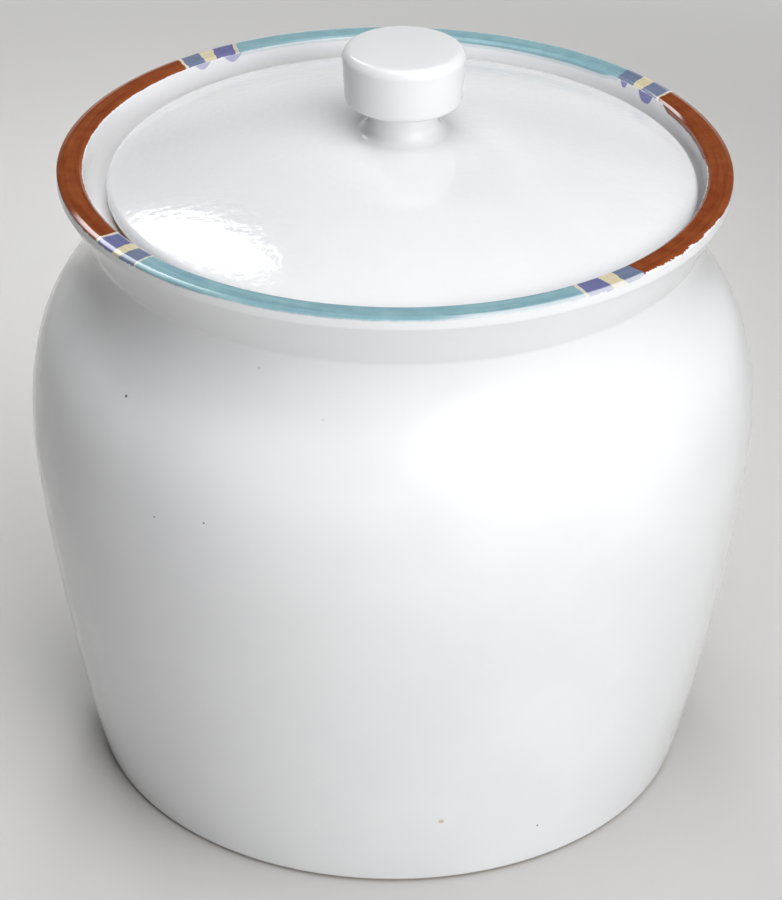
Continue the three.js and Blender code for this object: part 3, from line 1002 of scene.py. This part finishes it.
def make_world(look):
    """Pale background near the horizon, over a dim even light from all round."""
    world = bpy.data.worlds.new("studio")
    world.use_nodes = True
    n = Nodes(world.node_tree)
    heading = n.axes(n.add("ShaderNodeTexCoord").outputs["Generated"])
    low = n.ramp(heading["Z"], *HORIZON)
    shown = n.mix(n.times(low, seen_directly(n)), (look.ambient,) * 3, look.background)
    background = n.add("ShaderNodeBackground", {"Color": shown, "Strength": 1.0})
    n.put(n.add("ShaderNodeOutputWorld").inputs["Surface"], background.outputs["Background"])
    bpy.context.scene.world = world


def make_camera():
    """Camera whose forward direction is turned to the right and then down, rolled about that direction."""
    pitch, yaw, roll = CAMERA_PITCH, CAMERA_YAW, CAMERA_ROLL
    forward = Vector((math.sin(yaw) * math.cos(pitch), math.cos(yaw) * math.cos(pitch), -math.sin(pitch)))
    level = Vector((math.cos(yaw), -math.sin(yaw), 0))
    upright = level.cross(forward)
    right = math.cos(roll) * level + math.sin(roll) * upright
    up = math.cos(roll) * upright - math.sin(roll) * level
    data = bpy.data.cameras.new("camera")
    data.sensor_width = CAMERA_SENSOR
    data.lens = CAMERA_LENS
    camera = bpy.data.objects.new("camera", data)
    turn = Matrix((right, up, -forward)).transposed().to_4x4()
    camera.matrix_world = Matrix.Translation(CAMERA_PLACE) @ turn
    bpy.context.scene.collection.objects.link(camera)
    bpy.context.scene.camera = camera


class CANISTER_OT_stage(bpy.types.Operator):
    """Make the floor, the background, the lamps and the camera"""

    bl_idname = "canister.make_stage"
    bl_label = "Stage"

    def execute(self, context):
        look = context.scene.canister_stage
        make_floor(look)
        make_world(look)
        for name, watts, *place in LAMPS:
            soft_lamp(name, getattr(look, watts), *place)
        make_camera()
        context.scene.view_settings.view_transform = "Standard"
        return {"FINISHED"}


OPERATORS = (CANISTER_OT_pot, CANISTER_OT_lid, CANISTER_OT_seal, CANISTER_OT_stage)
GROUPS = {"canister_pot": PotSizes, "canister_lid": LidSizes, "canister_knob": KnobSizes,
          "canister_seal": SealSizes, "canister_band": BandPaint, "canister_glaze": GlazeFinish,
          "canister_stage": StageLook}


class CANISTER_PT_panel(bpy.types.Panel):
    """Lists the canister's sizes, colours and pieces"""

    bl_idname = "CANISTER_PT_panel"
    bl_label = "Canister"
    bl_space_type = "VIEW_3D"
    bl_region_type = "UI"
    bl_category = "Canister"

    def draw(self, context):
        for operator in OPERATORS:
            self.layout.operator(operator.bl_idname)
        for name, group in GROUPS.items():
            box = self.layout.box()
            box.label(text=group.__doc__)
            for key in group.__annotations__:
                box.prop(getattr(context.scene, name), key)


CLASSES = (*GROUPS.values(), *OPERATORS, CANISTER_PT_panel)


def register():
    for item in CLASSES:
        bpy.utils.register_class(item)
    for name, group in GROUPS.items():
        setattr(bpy.types.Scene, name, PointerProperty(type=group))


def unregister():
    for name in GROUPS:
        delattr(bpy.types.Scene, name)
    for item in reversed(CLASSES):
        bpy.utils.unregister_class(item)


def main():
    register()
    bpy.ops.canister.make_pot()
    bpy.ops.canister.make_lid()
    bpy.ops.canister.make_seal()
    bpy.ops.canister.make_stage()


if __name__ == "__main__":
    main()
